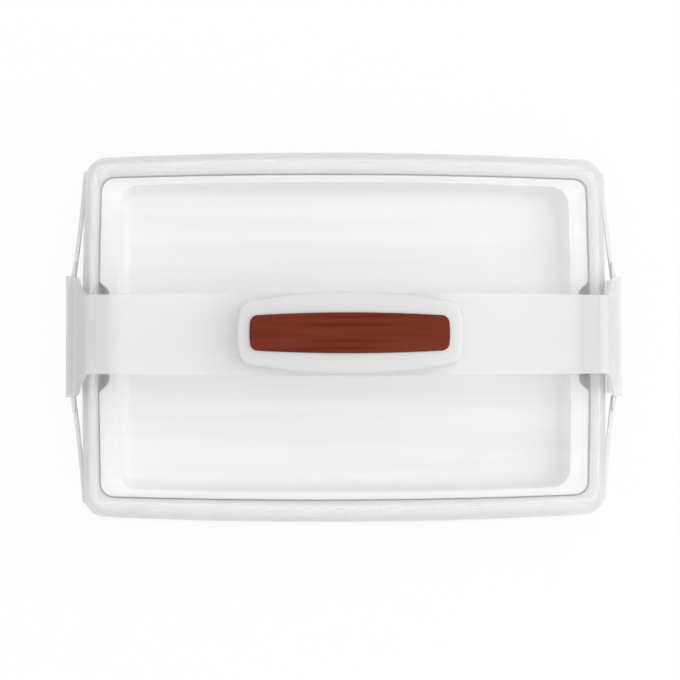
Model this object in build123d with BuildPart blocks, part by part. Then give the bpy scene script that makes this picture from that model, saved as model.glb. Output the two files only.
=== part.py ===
"""Rectangular cake carrier: a base tray, a lift-out cake tray, a clear hood and a carrying
strap whose two hinged arms hook the grab bars of the base.

Millimetres. The origin is on the table under the middle of the base, X runs along the
length, Y to the back and +Z up.
"""
import os

from build123d import *

os.makedirs("parts", exist_ok=True)

# ---- plan shapes -------------------------------------------------------------------------
# Every outline is a rectangle with bowed sides and round corners. The half sizes are taken at
# the middle of a side, and a bow is how far that middle stands out beyond the corners.
RIM_HALF_LENGTH = 198.5
RIM_HALF_WIDTH = 140.6
RIM_CORNER = 19.0
RIM_LONG_BOW = 5.3
RIM_SHORT_BOW = 2.0
TRAY_HALF_LENGTH = 184.6
TRAY_HALF_WIDTH = 122.4
TRAY_CORNER = 10.0
TRAY_LONG_BOW = 3.5
TRAY_SHORT_BOW = 1.9

# ---- heights, from the table up ----------------------------------------------------------
WALL = 2.0
SEAT_GAP = 0.3
FOOT_HEIGHT = 2.0
BASE_FLOOR_TOP = FOOT_HEIGHT + WALL
BASE_FLANGE_TOP = 34.0
TRAY_FOOT = BASE_FLOOR_TOP + SEAT_GAP
TRAY_FLOOR_TOP = 10.0
TRAY_RIM_TOP = 31.5
HOOD_FOOT = BASE_FLANGE_TOP + SEAT_GAP
HOOD_TOP = 84.0
STRAP_BOTTOM = HOOD_TOP + 0.4
STRAP_THICKNESS = 2.4
STRAP_TOP = STRAP_BOTTOM + STRAP_THICKNESS

# ---- base tray ---------------------------------------------------------------------------
TRAY_CLEARANCE = 1.0
TUB_DRAFT_INSET = 1.7
TUB_BOTTOM_RADIUS = 6.0
RIM_LAP = 2.0
BASE_LIP_DROP = 9.0
FOOT_INSET = 9.0
FOOT_WIDTH = 2.4
RIB_THICKNESS = 1.6
RIB_DEPTH = 6.0
LONG_SIDE_RIBS = 7
LONG_SIDE_RIB_PITCH = 50.0
END_RIBS = 3
END_RIB_PITCH = 80.0
BAR_WIDTH = 2.6
BAR_INNER_X = 192.5
BAR_REACH = 206.0
BAR_FRONT_HALF = 40.0
BAR_BEND = (205.0, 46.0)
BAR_FLARE_MIDDLE = (201.2, 76.5)
BAR_ROOT = (196.4, 124.0)
BAR_BOTTOM = 25.0
BAR_SHOULDER = 29.2
BAR_TOP = 32.5
BAR_RAISED_HALF = 56.0
BAR_ARC_DEPTH = 4.0

# ---- cake tray ---------------------------------------------------------------------------
TRAY_END_LEDGE = 13.8
TRAY_SIDE_LEDGE = 5.6
TRAY_MOUTH_CORNER = 14.0
TRAY_DRAFT_INSET = 1.6
TRAY_FLOOR_RADIUS = 6.0
TRAY_EDGE_RADIUS = 0.7
TRAY_LONG_RIBS = 3
TRAY_LONG_RIB = 320.0
TRAY_LONG_RIB_PITCH = 60.0
TRAY_CROSS_RIBS = 5
TRAY_CROSS_RIB = 200.0
TRAY_CROSS_RIB_PITCH = 80.0
NOTCH_DEPTH = 7.5
NOTCH_HALF_LENGTH = 34.5
NOTCH_MOUTH_HALF = 41.5
NOTCH_MOUTH_LENGTH = 8.0
NOTCH_RADIUS = 4.5

# ---- hood --------------------------------------------------------------------------------
HOOD_WALL = 1.8
HOOD_INSET = 6.0
HOOD_CORNER = 17.0
HOOD_DRAFT_INSET = 7.4
SHOULDER_RADIUS = 7.5
HOOD_FLANGE = 1.7
HOOD_FLANGE_RADIUS = 1.0
SKIRT_WALL = 1.5
SKIRT_BOTTOM = 29.7

# ---- carrying strap, its bridge handle and the grip -----------------------------------------
HINGE_X = 180.0
HINGE_GAP = 0.2
STRAP_END_HALF = 28.2
STRAP_MIDDLE_HALF = 29.6
BRIDGE_HALF_LENGTH = 79.0
BRIDGE_HALF_WIDTH = 28.6
BRIDGE_SIDE_BOW = 7.4
BRIDGE_END_BOW = 2.5
BRIDGE_CORNER = 9.0
BRIDGE_TOP = 115.5
BRIDGE_ROOF = 107.6
BRIDGE_WALL = 2.4
BRIDGE_EDGE = 2.5
CROWN_RADIUS = 1000.0
TUNNEL_HALF_LENGTH = 62.0
TUNNEL_CORNER = 9.0
WINDOW_LENGTH = 114.0
WINDOW_WIDTH = 42.0
WINDOW_CORNER = 8.0
LEG_CORNER = 3.0
GRIP_HALF_LENGTH = 69.8
GRIP_HALF_WIDTH = 14.2
GRIP_SIDE_BOW = 2.1
GRIP_END_BOW = 1.2
GRIP_CORNER = 5.5
GRIP_SEAT = 110.3
GRIP_TOP = 118.0
GRIP_CLEARANCE = 0.05
GRIP_EDGE = 1.8
GROOVE_OFFSETS = (-11.0, -5.6, 5.6, 11.0)
GROOVE_RADIUS = 0.9
GROOVE_HALF_LENGTH = 46.0

# ---- latch arms --------------------------------------------------------------------------
# The hook and the underside of the bar are arcs about the hinge line, so the hook swings out
# without lifting and a pull on the handle can't open it.
ARM_THICKNESS = 2.2
ARM_MIDDLE = STRAP_TOP - STRAP_THICKNESS / 2
BAR_ARC_RADIUS = 65.2
HOOK_CLEARANCE = 0.5
HOOK_TIP_X = 199.8
HOOK_HALF_WIDTH = 42.7
HOOK_SHOULDER_HALF = 45.0
HOOK_FACE_X = BAR_REACH + HOOK_CLEARANCE + ARM_THICKNESS / 2
HOOK_TOP = 35.0
HOOK_FOOT = 25.6
HOOK_BEND_RADIUS = 2.5
ARM_SHOULDER = (185.4, ARM_MIDDLE)
ARM_SHOULDER_RADIUS = 7.0
ARM_WAIST = (200.9, 38.6)
ARM_WAIST_RADIUS = 3.0
ARM_FLARE_MIDDLE = (33.0, 64.0)
ARM_FLARE_FOOT = 46.0


def bowed_rectangle(half_length, half_width, corner, long_bow, short_bow):
    """A rectangle whose four sides are shallow arcs, with round corners."""
    corner_x = half_length - short_bow
    corner_y = half_width - long_bow
    with BuildSketch() as outline:
        with BuildLine():
            ThreePointArc((-corner_x, -corner_y), (0, -half_width), (corner_x, -corner_y))
            ThreePointArc((corner_x, -corner_y), (half_length, 0), (corner_x, corner_y))
            ThreePointArc((corner_x, corner_y), (0, half_width), (-corner_x, corner_y))
            ThreePointArc((-corner_x, corner_y), (-half_length, 0), (-corner_x, -corner_y))
        make_face()
        fillet(outline.vertices(), corner)
    return outline.sketch


def rim_outline(inset):
    """The outline of the hood's rim, drawn in by an inset."""
    return bowed_rectangle(
        RIM_HALF_LENGTH - inset, RIM_HALF_WIDTH - inset, RIM_CORNER - inset,
        RIM_LONG_BOW, RIM_SHORT_BOW,
    )


def hood_outline(inset):
    """The outline of the hood's wall at its foot, drawn in by an inset."""
    return bowed_rectangle(
        RIM_HALF_LENGTH - HOOD_INSET - inset, RIM_HALF_WIDTH - HOOD_INSET - inset,
        HOOD_CORNER - inset, RIM_LONG_BOW, RIM_SHORT_BOW,
    )


def tray_outline(end_inset, side_inset, corner):
    """The outline of the cake tray's rim, drawn in at the ends and at the sides."""
    return bowed_rectangle(
        TRAY_HALF_LENGTH - end_inset, TRAY_HALF_WIDTH - side_inset, corner,
        TRAY_LONG_BOW, TRAY_SHORT_BOW,
    )


def tray_offset(amount):
    """The outline of the cake tray's rim, drawn out evenly all round."""
    return tray_outline(-amount, -amount, TRAY_CORNER + amount)


def edges_at(part, height):
    """The edges of a part that lie flat at one height."""
    return part.edges().filter_by_position(Axis.Z, height - 0.01, height + 0.01)


def tub_form(top_outline, top_height, low_outline, low_height, round_height, round_radius):
    """A solid with ruled walls between two outlines and one end rounded off."""
    with BuildPart() as form:
        with BuildSketch(Plane.XY.offset(top_height)):
            add(top_outline)
        with BuildSketch(Plane.XY.offset(low_height)):
            add(low_outline)
        loft(ruled=True)
        fillet(edges_at(form, round_height), round_radius)
    return form.part


# ---- base tray: a drafted tub with a wide flange, a down-turned lip and two grab bars ------
tub_outside = tub_form(
    tray_offset(TRAY_CLEARANCE + WALL), BASE_FLANGE_TOP,
    tray_offset(TRAY_CLEARANCE + WALL - TUB_DRAFT_INSET), FOOT_HEIGHT,
    FOOT_HEIGHT, TUB_BOTTOM_RADIUS,
)
tub_inside = tub_form(
    tray_offset(TRAY_CLEARANCE), BASE_FLANGE_TOP,
    tray_offset(TRAY_CLEARANCE - TUB_DRAFT_INSET), BASE_FLOOR_TOP,
    BASE_FLOOR_TOP, TUB_BOTTOM_RADIUS - WALL,
)
flange_edge = rim_outline(RIM_LAP)
lip_inside = rim_outline(RIM_LAP + WALL)
rib_reach = rim_outline(RIM_LAP + WALL / 2)
rib_start = tray_offset(TRAY_CLEARANCE + WALL / 2)
foot_edge = tray_outline(FOOT_INSET, FOOT_INSET, TRAY_CORNER)
foot_inside = tray_outline(FOOT_INSET + FOOT_WIDTH, FOOT_INSET + FOOT_WIDTH, TRAY_CORNER - FOOT_WIDTH)

with BuildSketch() as bar_outline:
    with BuildLine():
        ThreePointArc(BAR_ROOT, BAR_FLARE_MIDDLE, BAR_BEND)
        Polyline(BAR_BEND, (BAR_REACH, BAR_FRONT_HALF), (BAR_REACH, 0))
        Polyline(BAR_ROOT, (BAR_INNER_X, BAR_ROOT[1]), (BAR_INNER_X, 0))
        mirror(about=Plane.XZ)
    make_face()
    offset(amount=-BAR_WIDTH, mode=Mode.SUBTRACT)

with BuildPart() as base_tray:
    add(tub_outside)
    with BuildSketch(Plane.XY.offset(BASE_FLANGE_TOP - WALL)):
        add(flange_edge)
    extrude(amount=WALL)
    with BuildSketch(Plane.XY.offset(BASE_FLANGE_TOP - BASE_LIP_DROP)):
        add(flange_edge)
        add(lip_inside, mode=Mode.SUBTRACT)
    extrude(amount=BASE_LIP_DROP)
    # Short ribs under the flange tie the lip to the tub.
    with BuildSketch(Plane.XY.offset(BASE_FLANGE_TOP - WALL - RIB_DEPTH)):
        with GridLocations(LONG_SIDE_RIB_PITCH, 0, LONG_SIDE_RIBS, 1):
            Rectangle(RIB_THICKNESS, 2 * RIM_HALF_WIDTH)
        with GridLocations(0, END_RIB_PITCH, 1, END_RIBS):
            Rectangle(2 * RIM_HALF_LENGTH, RIB_THICKNESS)
        add(rib_reach, mode=Mode.INTERSECT)
        add(rib_start, mode=Mode.SUBTRACT)
    extrude(amount=RIB_DEPTH)
    # The grab bars pass under the hood's skirt and stand taller where the arms hook them.
    for bar_plane in (Plane.XY, Plane.XY.rotated((0, 0, 180))):
        with BuildSketch(bar_plane.offset(BAR_BOTTOM)):
            add(bar_outline.sketch)
        extrude(amount=BAR_SHOULDER - BAR_BOTTOM)
        with BuildSketch(bar_plane.offset(BAR_BOTTOM)):
            add(bar_outline.sketch)
            with Locations((BAR_REACH - BAR_WIDTH / 2, 0)):
                Rectangle(2 * BAR_WIDTH, 2 * BAR_RAISED_HALF, mode=Mode.INTERSECT)
        extrude(amount=BAR_TOP - BAR_BOTTOM)
    # The underside of each bar is struck from the hinge line of the arm that hooks it.
    for hinge_side in (-1, 1):
        with BuildSketch(Plane.XZ):
            with Locations((hinge_side * BAR_REACH, BAR_BOTTOM)):
                Rectangle(4 * BAR_WIDTH, 2 * BAR_ARC_DEPTH)
            with Locations((hinge_side * HINGE_X, STRAP_TOP)):
                Circle(BAR_ARC_RADIUS, mode=Mode.SUBTRACT)
        extrude(amount=BAR_BEND[1], both=True, mode=Mode.SUBTRACT)
    add(tub_inside, mode=Mode.SUBTRACT)
    # A foot bead runs round the underside.
    with BuildSketch():
        add(foot_edge)
        add(foot_inside, mode=Mode.SUBTRACT)
    extrude(amount=FOOT_HEIGHT + WALL / 2)
base_tray.part.label = "base_tray"
export_step(base_tray.part, "parts/base_tray.step")

# ---- cake tray: a shallow dish in a wide ledge, with a finger notch at each end -------------
def dish_outline(inset):
    """The outline of the dish's mouth in the ledge, drawn in by an inset."""
    return tray_outline(
        TRAY_END_LEDGE + inset, TRAY_SIDE_LEDGE + inset, TRAY_MOUTH_CORNER - inset
    )


dish_outside = tub_form(
    dish_outline(-WALL), TRAY_RIM_TOP,
    dish_outline(TRAY_DRAFT_INSET - WALL), TRAY_FLOOR_TOP - WALL,
    TRAY_FLOOR_TOP - WALL, TRAY_FLOOR_RADIUS + WALL / 2,
)
dish_hollow = tub_form(
    dish_outline(0), TRAY_RIM_TOP, dish_outline(TRAY_DRAFT_INSET), TRAY_FLOOR_TOP,
    TRAY_FLOOR_TOP, TRAY_FLOOR_RADIUS,
)
tray_edge = tray_offset(0)

with BuildSketch() as notch_outline:
    mouth_end = NOTCH_MOUTH_HALF + NOTCH_MOUTH_LENGTH
    with BuildLine():
        Polyline(
            (TRAY_HALF_LENGTH - NOTCH_DEPTH, 0),
            (TRAY_HALF_LENGTH - NOTCH_DEPTH, NOTCH_HALF_LENGTH),
            (TRAY_HALF_LENGTH, NOTCH_MOUTH_HALF),
            (TRAY_HALF_LENGTH, mouth_end),
            (TRAY_HALF_LENGTH + NOTCH_DEPTH, mouth_end),
            (TRAY_HALF_LENGTH + NOTCH_DEPTH, 0),
        )
        mirror(about=Plane.XZ)
    make_face()
    notch_corners = notch_outline.vertices().filter_by_position(
        Axis.Y, -NOTCH_MOUTH_HALF, NOTCH_MOUTH_HALF
    )
    fillet(notch_corners, NOTCH_RADIUS)

with BuildPart() as cake_tray:
    add(dish_outside)
    with BuildSketch(Plane.XY.offset(TRAY_RIM_TOP - WALL)):
        add(tray_edge)
    extrude(amount=WALL)
    # Ribs under the floor carry the cake and stand on the base.
    with BuildSketch(Plane.XY.offset(TRAY_FOOT)):
        with GridLocations(0, TRAY_LONG_RIB_PITCH, 1, TRAY_LONG_RIBS):
            Rectangle(TRAY_LONG_RIB, RIB_THICKNESS)
        with GridLocations(TRAY_CROSS_RIB_PITCH, 0, TRAY_CROSS_RIBS, 1):
            Rectangle(RIB_THICKNESS, TRAY_CROSS_RIB)
    extrude(amount=TRAY_FLOOR_TOP - WALL / 2 - TRAY_FOOT)
    for notch_plane in (Plane.XY, Plane.XY.rotated((0, 0, 180))):
        with BuildSketch(notch_plane):
            add(notch_outline.sketch)
        extrude(amount=BASE_FLANGE_TOP, mode=Mode.SUBTRACT)
    add(dish_hollow, mode=Mode.SUBTRACT)
    fillet(cake_tray.faces().sort_by(Axis.Z)[-1].edges(), TRAY_EDGE_RADIUS)
cake_tray.part.label = "cake_tray"
export_step(cake_tray.part, "parts/cake_tray.step")

# ---- hood: a drafted clear cover with rounded shoulders and a skirt round the base ---------
hood_outside = tub_form(
    hood_outline(HOOD_DRAFT_INSET), HOOD_TOP, hood_outline(0), HOOD_FOOT,
    HOOD_TOP, SHOULDER_RADIUS,
)
hood_inside = tub_form(
    hood_outline(HOOD_DRAFT_INSET + HOOD_WALL), HOOD_TOP - HOOD_WALL,
    hood_outline(HOOD_WALL), HOOD_FOOT,
    HOOD_TOP - HOOD_WALL, SHOULDER_RADIUS - HOOD_WALL,
)
rim_edge = rim_outline(0)
skirt_inside = rim_outline(SKIRT_WALL)

with BuildPart() as hood_rim:
    with BuildSketch(Plane.XY.offset(SKIRT_BOTTOM)):
        add(rim_edge)
    extrude(amount=HOOD_FOOT + HOOD_FLANGE - SKIRT_BOTTOM)
    fillet(edges_at(hood_rim, HOOD_FOOT + HOOD_FLANGE), HOOD_FLANGE_RADIUS)
    with BuildSketch(Plane.XY.offset(SKIRT_BOTTOM)):
        add(skirt_inside)
    extrude(amount=HOOD_FOOT - SKIRT_BOTTOM, mode=Mode.SUBTRACT)

with BuildPart() as hood:
    add(hood_rim.part)
    add(hood_outside)
    add(hood_inside, mode=Mode.SUBTRACT)
hood.part.label = "hood"
export_step(hood.part, "parts/hood.step")

# ---- carrying strap: a flat band with a bridge handle raised at its middle -----------------
bridge_edge = bowed_rectangle(
    BRIDGE_HALF_LENGTH, BRIDGE_HALF_WIDTH, BRIDGE_CORNER, BRIDGE_SIDE_BOW, BRIDGE_END_BOW
)
grip_edge = bowed_rectangle(
    GRIP_HALF_LENGTH, GRIP_HALF_WIDTH, GRIP_CORNER, GRIP_SIDE_BOW, GRIP_END_BOW
)
grip_foot = bowed_rectangle(
    GRIP_HALF_LENGTH - GRIP_CLEARANCE, GRIP_HALF_WIDTH - GRIP_CLEARANCE, GRIP_CORNER,
    GRIP_SIDE_BOW, GRIP_END_BOW,
)

with BuildPart() as carry_strap:
    strap_end_x = HINGE_X - HINGE_GAP / 2
    with BuildSketch(Plane.XY.offset(STRAP_BOTTOM)):
        with BuildLine():
            strap_corners = (-strap_end_x, STRAP_END_HALF), (strap_end_x, STRAP_END_HALF)
            ThreePointArc(strap_corners[0], (0, STRAP_MIDDLE_HALF), strap_corners[1])
            Line(strap_corners[0], (-strap_end_x, 0))
            Line(strap_corners[1], (strap_end_x, 0))
            mirror(about=Plane.XZ)
        make_face()
    extrude(amount=STRAP_THICKNESS)
    with BuildSketch(Plane.XY.offset(STRAP_BOTTOM)):
        add(bridge_edge)
    extrude(amount=BRIDGE_TOP - STRAP_BOTTOM)
    # The top of the bridge is crowned along its length.
    with BuildSketch(Plane.XZ):
        with Locations((0, BRIDGE_TOP - CROWN_RADIUS)):
            Circle(CROWN_RADIUS)
    extrude(amount=2 * STRAP_MIDDLE_HALF, both=True, mode=Mode.INTERSECT)
    fillet(carry_strap.faces().sort_by(Axis.Z)[-1].edges(), BRIDGE_EDGE)
    # The tunnel for the hand runs right through, with a window in the band below it.
    with BuildSketch(Plane.XZ) as tunnel_outline:
        with Locations((0, (STRAP_TOP + BRIDGE_ROOF) / 2)):
            Rectangle(2 * TUNNEL_HALF_LENGTH, BRIDGE_ROOF - STRAP_TOP)
        fillet(tunnel_outline.vertices().group_by(Axis.Z)[-1], TUNNEL_CORNER)
    extrude(amount=2 * STRAP_MIDDLE_HALF, both=True, mode=Mode.SUBTRACT)
    with BuildSketch(Plane.XY.offset(STRAP_BOTTOM)):
        RectangleRounded(WINDOW_LENGTH, WINDOW_WIDTH, WINDOW_CORNER)
    extrude(amount=STRAP_THICKNESS, mode=Mode.SUBTRACT)
    # Each leg is hollow from below.
    leg_length = BRIDGE_HALF_LENGTH - TUNNEL_HALF_LENGTH - 2 * BRIDGE_WALL - BRIDGE_END_BOW
    leg_width = 2 * (BRIDGE_HALF_WIDTH - BRIDGE_SIDE_BOW - BRIDGE_WALL)
    with BuildSketch(Plane.XY.offset(STRAP_BOTTOM)):
        with GridLocations(2 * (TUNNEL_HALF_LENGTH + BRIDGE_WALL) + leg_length, 0, 2, 1):
            RectangleRounded(leg_length, leg_width, LEG_CORNER)
    extrude(amount=BRIDGE_ROOF - STRAP_BOTTOM, mode=Mode.SUBTRACT)
    # The recess in the top that holds the grip.
    with BuildSketch(Plane.XY.offset(GRIP_SEAT)):
        add(grip_edge)
    extrude(amount=BRIDGE_TOP - GRIP_SEAT, mode=Mode.SUBTRACT)
carry_strap.part.label = "carry_strap"
export_step(carry_strap.part, "parts/carry_strap.step")

# ---- grip pad: a soft pad let into the bridge, domed, with four grooves along it ------------
with BuildPart() as grip_pad:
    with BuildSketch(Plane.XY.offset(GRIP_SEAT)):
        add(grip_foot)
    extrude(amount=GRIP_TOP - GRIP_SEAT)
    with BuildSketch(Plane.XZ):
        with Locations((0, GRIP_TOP - CROWN_RADIUS)):
            Circle(CROWN_RADIUS)
    extrude(amount=2 * GRIP_HALF_WIDTH, both=True, mode=Mode.INTERSECT)
    fillet(grip_pad.faces().sort_by(Axis.Z)[-1].edges(), GRIP_EDGE)
    # The grooves are cut level, so they run out towards the ends of the crown.
    with BuildSketch(Plane.YZ):
        with Locations(*((groove_y, GRIP_TOP) for groove_y in GROOVE_OFFSETS)):
            Circle(GROOVE_RADIUS)
    extrude(amount=GROOVE_HALF_LENGTH, both=True, mode=Mode.SUBTRACT)
grip_pad.part.label = "grip_pad"
export_step(grip_pad.part, "parts/grip_pad.step")

# ---- latch arms: each bends over the hood's shoulder, flares out and ends in a wide hook ---
with BuildPart() as right_latch_arm:
    with BuildSketch(Plane.XZ):
        with BuildLine():
            FilletPolyline(
                (HINGE_X + HINGE_GAP / 2, ARM_MIDDLE),
                ARM_SHOULDER,
                ARM_WAIST,
                (HOOK_FACE_X, HOOK_TOP),
                (HOOK_FACE_X, HOOK_FOOT),
                radius=[ARM_SHOULDER_RADIUS, ARM_WAIST_RADIUS, HOOK_BEND_RADIUS],
            )
        trace(line_width=ARM_THICKNESS)
    extrude(amount=HOOK_SHOULDER_HALF, both=True)
    with BuildSketch(Plane.XZ):
        with Locations((HINGE_X, STRAP_TOP)):
            Circle(BAR_ARC_RADIUS + HOOK_CLEARANCE + ARM_THICKNESS)
            Circle(BAR_ARC_RADIUS + HOOK_CLEARANCE, mode=Mode.SUBTRACT)
        hook_face = HOOK_FACE_X + ARM_THICKNESS / 2
        with Locations((HOOK_TIP_X, FOOT_HEIGHT)):
            Rectangle(
                hook_face - HOOK_TIP_X, HOOK_FOOT + ARM_THICKNESS - FOOT_HEIGHT,
                align=Align.MIN, mode=Mode.INTERSECT,
            )
    extrude(amount=HOOK_SHOULDER_HALF, both=True)
    # Seen from the end, the arm flares from the width of the strap to that of the hook.
    with BuildSketch(Plane.YZ):
        with BuildLine():
            Polyline((0, BRIDGE_TOP), (STRAP_END_HALF, BRIDGE_TOP), (STRAP_END_HALF, HOOD_TOP))
            ThreePointArc((STRAP_END_HALF, HOOD_TOP), ARM_FLARE_MIDDLE, (HOOK_HALF_WIDTH, ARM_FLARE_FOOT))
            Polyline(
                (HOOK_HALF_WIDTH, ARM_FLARE_FOOT),
                (HOOK_SHOULDER_HALF, HOOK_TOP),
                (HOOK_HALF_WIDTH, HOOK_FOOT),
                (HOOK_HALF_WIDTH, FOOT_HEIGHT),
                (0, FOOT_HEIGHT),
            )
            mirror(about=Plane.YZ)
        make_face()
    extrude(amount=BAR_REACH + HOOK_HALF_WIDTH, mode=Mode.INTERSECT)
right_latch_arm.part.label = "right_latch_arm"
export_step(right_latch_arm.part, "parts/right_latch_arm.step")

with BuildPart() as left_latch_arm:
    add(right_latch_arm.part)
    mirror(about=Plane.YZ, mode=Mode.REPLACE)
left_latch_arm.part.label = "left_latch_arm"
export_step(left_latch_arm.part, "parts/left_latch_arm.step")
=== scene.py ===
"""Rectangular cake carrier in moulded plastic: a base with grab bars, a lift-out cake tray,
a clear hood, and a frosted carrying strap with a brick-red grip and two latch arms."""
import math

import bpy
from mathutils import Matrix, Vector

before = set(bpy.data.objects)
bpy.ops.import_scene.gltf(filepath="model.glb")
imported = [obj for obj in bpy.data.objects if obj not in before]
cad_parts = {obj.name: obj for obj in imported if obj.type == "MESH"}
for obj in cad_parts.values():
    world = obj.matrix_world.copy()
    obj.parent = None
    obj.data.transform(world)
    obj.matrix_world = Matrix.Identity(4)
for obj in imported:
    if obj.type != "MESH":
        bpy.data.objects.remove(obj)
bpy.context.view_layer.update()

# ---- base tray ---------------------------------------------------------------------------
# The base is injection-moulded in natural polypropylene, which is milky and lets some light
# through. It comes out of the tool with a satin skin and slow cloudy variation in the wall.
BASE_DIM = (0.912, 0.918, 0.934, 1)
BASE_PALE = (0.940, 0.943, 0.952, 1)
BASE_TRANSMISSION = 0.35
BASE_GRAIN_DEPTH = 0.00002
BASE_GRAIN_STRENGTH = 0.5
SOLID_PLASTIC_IOR = 1.49


def finish_node(node, finish):
    """Gives one of the carrier's own mouldings its material."""
    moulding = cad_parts[node]
    moulding.data.materials.clear()
    moulding.data.materials.append(finish.material)


class Value:
    """A number that varies over a surface; arithmetic on it adds Math nodes."""

    def __init__(self, tree, socket):
        self.tree = tree
        self.socket = socket

    def math(self, operation, first, second):
        node = self.tree.nodes.new("ShaderNodeMath")
        node.operation = operation
        for slot, value in zip(node.inputs, (first, second)):
            if isinstance(value, Value):
                self.tree.links.new(value.socket, slot)
            else:
                slot.default_value = value
        return Value(self.tree, node.outputs[0])

    def __add__(self, other):
        return self.math("ADD", self, other)

    def __mul__(self, other):
        return self.math("MULTIPLY", self, other)

    __radd__ = __add__
    __rmul__ = __mul__


class Nodes:
    """The nodes of a material or of the studio's air."""

    def __init__(self, tree):
        self.tree = tree
        self.tree.nodes.clear()
        self.output = None

    def add(self, kind, inputs=None, output=0, stops=None, **settings):
        """One node of a kind, with its settings, its inputs and the output that is used."""
        node = self.tree.nodes.new("ShaderNode" + kind)
        for name, value in settings.items():
            setattr(node, name, value)
        for index, (position, colour) in enumerate(stops or ()):
            elements = node.color_ramp.elements
            element = elements[index] if index < len(elements) else elements.new(position)
            element.position = position
            element.color = colour
        for name, value in (inputs or {}).items():
            if isinstance(value, Value):
                self.tree.links.new(value.socket, node.inputs[name])
            else:
                node.inputs[name].default_value = value
        return Value(self.tree, node.outputs[output])

    def show(self, value, kind):
        """Sends a shader to the output of a material or of the air."""
        if self.output is None:
            self.output = self.tree.nodes.new("ShaderNodeOutput" + kind)
        self.tree.links.new(value.socket, self.output.inputs["Surface"])


class Finish(Nodes):
    """A moulding's material: a Principled shader and the nodes that vary it."""

    def __init__(self, name, **look):
        self.material = bpy.data.materials.new(name)
        self.material.use_nodes = True
        super().__init__(self.material.node_tree)
        look = {slot.replace("_", " "): value for slot, value in look.items()}
        self.surface = self.add("BsdfPrincipled", look)
        self.shader = self.surface.socket.node
        self.show(self.surface, "Material")
        self.place = self.add("TexCoord", output="Object")

    def vary(self, slot, value):
        """Feeds one of the shader's inputs from a value."""
        self.tree.links.new(value.socket, self.shader.inputs[slot])

    def noise(self, scale, detail=2.0, stretch=(1.0, 1.0, 1.0)):
        """Cloudy variation between 0 and 1, with its size given per metre."""
        spot = self.add("Mapping", {"Vector": self.place, "Scale": stretch})
        return self.add("TexNoise", {"Vector": spot, "Scale": scale, "Detail": detail})

    def spread(self, noise):
        """Noise, which stays near its middle, stretched to run from 0 to 1."""
        return self.add("MapRange", {"Value": noise, "From Min": 0.35, "From Max": 0.65})

    def bump(self, height, distance, strength=1.0):
        """Raises the surface by a height between 0 and 1 times a distance in metres."""
        relief = self.add(
            "Bump", {"Height": height, "Distance": distance, "Strength": strength}, output="Normal"
        )
        self.vary("Normal", relief)


def blend_colours(finish, factor, first, second):
    """A colour between two, by a factor that varies over the surface."""
    return finish.add(
        "Mix", {0: factor, 6: first, 7: second}, output=2, data_type="RGBA", clamp_factor=True
    )


base_finish = Finish(
    "natural_polypropylene", IOR=SOLID_PLASTIC_IOR, Transmission_Weight=BASE_TRANSMISSION
)
cloud = base_finish.noise(18.0, 3.0)
base_finish.vary("Base Color", blend_colours(base_finish, cloud, BASE_DIM, BASE_PALE))
base_finish.vary("Roughness", 0.31 + 0.12 * cloud)
base_finish.bump(base_finish.noise(240.0, 2.0), BASE_GRAIN_DEPTH, BASE_GRAIN_STRENGTH)
finish_node("base_tray", base_finish)

# ---- cake tray ---------------------------------------------------------------------------
# The lift-out tray is white polypropylene, filled with pigment so no light gets through. It is
# satin, with faint flow lines along its length from the moulding.
TRAY_DIM = (0.885, 0.885, 0.889, 1)
TRAY_PALE = (0.950, 0.950, 0.951, 1)
TRAY_FLOW = (0.2, 4.5, 1.0)
TRAY_GRAIN_DEPTH = 0.00001
tray_finish = Finish("white_tray_polypropylene", IOR=SOLID_PLASTIC_IOR)
flow = tray_finish.noise(14.0, 4.0, TRAY_FLOW)
tray_finish.vary(
    "Base Color", blend_colours(tray_finish, tray_finish.spread(flow), TRAY_DIM, TRAY_PALE)
)
tray_finish.vary("Roughness", 0.30 + 0.15 * flow)
tray_finish.bump(tray_finish.noise(1200.0), TRAY_GRAIN_DEPTH)
finish_node("cake_tray", tray_finish)

# ---- hood --------------------------------------------------------------------------------
# The cover is clear polypropylene, 1.8 mm thick, drawn off a polished core. Its faces are
# glossy, a little more so in some long patches than in others.
THIN_PLASTIC_IOR = 1.46
HOOD_TINT = (0.91, 0.91, 0.922, 1)
HOOD_TRANSMISSION = 0.6
HOOD_PATCHES = (0.4, 2.0, 1.0)
# How much body a face shows, by its turn from square on (0) to edge-on (1).
HOOD_BODY = [
    (turn, (body, body, body, 1.0))
    for turn, body in (
        (0.0, 0.14), (0.08, 0.22), (0.30, 0.36), (0.55, 0.12), (0.75, 0.02), (1.0, 0.01)
    )
]
hood_finish = Finish(
    "clear_hood_polypropylene", Base_Color=HOOD_TINT, IOR=THIN_PLASTIC_IOR,
    Transmission_Weight=HOOD_TRANSMISSION,
)
turned = hood_finish.add("LayerWeight", {"Blend": 0.5}, output="Facing")
hood_finish.vary("Alpha", hood_finish.add("ValToRGB", {"Fac": turned}, stops=HOOD_BODY))
hood_finish.vary("Roughness", 0.05 + 0.05 * hood_finish.noise(9.0, 1.0, HOOD_PATCHES))
finish_node("hood", hood_finish)

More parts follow.
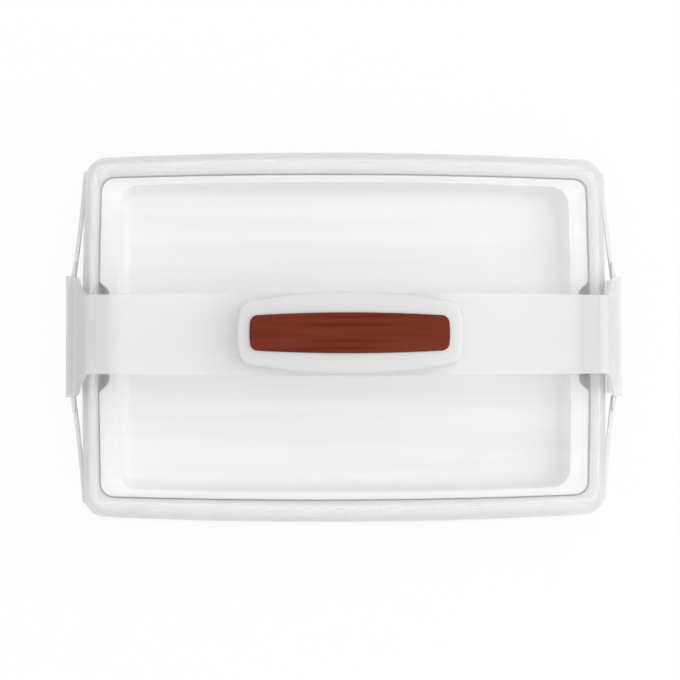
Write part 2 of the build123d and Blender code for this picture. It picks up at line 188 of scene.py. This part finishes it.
# ---- carrying strap and latch arms -------------------------------------------------------
# The strap and its two arms are frosted polypropylene. A fine spark texture in the tool
# scatters the light, so what lies under the strap shows only as a soft shade. The thick
# bridge handle is milky instead, and its colour is darkened with painted shade, standing for
# the shaded hand gap under it. Both have a slow cloudy variation.
BAND_DIM = (0.965, 0.966, 0.970, 1)
BAND_PALE = (1.0, 1.0, 0.998, 1)
BAND_TRANSMISSION = 0.63
# The bridge colours are painted shade: much darker than the band to stand for the shaded hand gap
# under the handle.
BRIDGE_SHADE_DIM = (0.61, 0.61, 0.618, 1)
BRIDGE_SHADE_PALE = (0.67, 0.67, 0.672, 1)
BRIDGE_ROUGHNESS = 0.35
BRIDGE_MILK_AND_SHADE = 0.88
BAND_TOP_HEIGHT = 0.0870
BRIDGE_WALL_HEIGHT = 0.0900
STRAP_HAZE = (0.4, 1.5, 1.0)
strap_finish = Finish(
    "frosted_strap_polypropylene", IOR=THIN_PLASTIC_IOR, Transmission_Weight=BAND_TRANSMISSION
)
haze = strap_finish.noise(22.0, 2.0, STRAP_HAZE)
strap_finish.vary("Base Color", blend_colours(strap_finish, haze, BAND_DIM, BAND_PALE))
strap_finish.vary("Roughness", 0.29 + 0.06 * strap_finish.noise(120.0, 3.0))
# Milky bridge colour, darkened with painted shade.
bridge_colour_with_painted_shade = blend_colours(strap_finish, haze, BRIDGE_SHADE_DIM, BRIDGE_SHADE_PALE)
milky_bridge_with_painted_shade = strap_finish.add("BsdfPrincipled", {"Base Color": bridge_colour_with_painted_shade, "Roughness": BRIDGE_ROUGHNESS})
height = strap_finish.add("SeparateXYZ", {"Vector": strap_finish.place}, output="Z")
bridge = strap_finish.add(
    "MapRange",
    {"Value": height, "From Min": BAND_TOP_HEIGHT, "From Max": BRIDGE_WALL_HEIGHT},
    interpolation_type="SMOOTHSTEP",
)
strap_mix = {0: BRIDGE_MILK_AND_SHADE * bridge, 1: strap_finish.surface, 2: milky_bridge_with_painted_shade}
strap_finish.show(strap_finish.add("MixShader", strap_mix), "Material")
for node in ("carry_strap", "left_latch_arm", "right_latch_arm"):
    finish_node(node, strap_finish)

# ---- grip --------------------------------------------------------------------------------
# The grip is a soft brick-red elastomer moulded into the bridge handle, matt, with four
# grooves along it. Paler streaks along it are painted sheen, standing for reflections.
GRIP_DEEP = (0.122, 0.014, 0.004, 1)
# The paler colour is painted sheen: lengthwise light streaks that stand for reflections.
GRIP_PAINTED_SHEEN = (0.158, 0.024, 0.009, 1)
GRIP_STREAKS = (0.2, 2.5, 1.0)
GRIP_GRAIN_DEPTH = 0.00003
grip_finish = Finish("brick_red_elastomer", IOR=1.5, Specular_IOR_Level=0.15)
# Streaks along the grip, painted into the colour as sheen; they also vary the roughness.
painted_sheen_streaks = grip_finish.noise(60.0, 4.0, GRIP_STREAKS)
grip_finish.vary(
    "Base Color", blend_colours(grip_finish, grip_finish.spread(painted_sheen_streaks), GRIP_DEEP, GRIP_PAINTED_SHEEN)
)
grip_finish.vary("Roughness", 0.5 + 0.2 * painted_sheen_streaks)
grip_finish.bump(grip_finish.noise(2200.0, 1.0), GRIP_GRAIN_DEPTH)
finish_node("grip_pad", grip_finish)

# ---- studio ------------------------------------------------------------------------------
# A white table in white air, with one large soft box high on the right. The table and the air
# show as white where they are looked at, also through the clear plastic.
TABLE_WIDTH = 6.0
TABLE_PAINT = (0.8, 0.8, 0.8, 1)
TABLE_GLOW = 0.93
AIR_COLOUR = (1, 1, 1, 1)
AIR_LIGHT = 0.93
LAMP_PLACE = Vector((1.9, 0.2, 1.9))
LAMP_WIDTH = 3.6
LAMP_POWER = 46.0
bpy.ops.object.select_all(action="DESELECT")
bpy.ops.mesh.primitive_plane_add(size=TABLE_WIDTH, location=(0, 0, 0))
table = bpy.context.object
table.name = "studio_table"
table_material = bpy.data.materials.new("white_table")
table_material.use_nodes = True
table_nodes = Nodes(table_material.node_tree)
seen = table_nodes.add("LightPath", output="Is Camera Ray")
seen_through = table_nodes.add("LightPath", output="Is Transmission Ray")
looked_at = seen.math("MAXIMUM", seen, seen_through)
paint = table_nodes.add("BsdfDiffuse", {"Color": TABLE_PAINT})
glow = table_nodes.add("Emission", {"Strength": 1.0})
table_nodes.show(
    table_nodes.add("MixShader", {0: TABLE_GLOW * looked_at, 1: paint, 2: glow}), "Material"
)
table.data.materials.append(table_material)

air = bpy.data.worlds.new("studio_air")
bpy.context.scene.world = air
air.use_nodes = True
air_nodes = Nodes(air.node_tree)
air_seen = air_nodes.add("LightPath", output="Is Camera Ray")
air_light = AIR_LIGHT + (1 - AIR_LIGHT) * air_seen
air_nodes.show(
    air_nodes.add("Background", {"Color": AIR_COLOUR, "Strength": air_light}), "World"
)

lamp = bpy.data.lights.new("right_soft_box", "AREA")
lamp.shape = "SQUARE"
lamp.size = LAMP_WIDTH
lamp.energy = LAMP_POWER
soft_box = bpy.data.objects.new("right_soft_box", lamp)
bpy.context.scene.collection.objects.link(soft_box)
soft_box.location = LAMP_PLACE
soft_box.rotation_euler = (-LAMP_PLACE).to_track_quat("-Z", "Y").to_euler()

# ---- camera ------------------------------------------------------------------------------
# The carrier is looked at from above, a little to the left of its middle and in front of it.
FOCAL_PIXELS = 1400.0
PICTURE_WIDTH = 680.0
SENSOR_WIDTH = 36.0
NEAREST_SEEN = 0.05
CAMERA_PLACE = (-0.0413, -0.0339, 1.0843)
CAMERA_TURN = (1.71, -2.02, -0.09)
lens = bpy.data.cameras.new("overhead_camera")
lens.sensor_width = SENSOR_WIDTH
lens.lens = FOCAL_PIXELS / PICTURE_WIDTH * SENSOR_WIDTH
lens.clip_start = NEAREST_SEEN
camera = bpy.data.objects.new("overhead_camera", lens)
bpy.context.scene.collection.objects.link(camera)
camera.location = CAMERA_PLACE
camera.rotation_euler = [math.radians(turn) for turn in CAMERA_TURN]
bpy.context.scene.camera = camera
bpy.context.scene.view_settings.view_transform = "Standard"
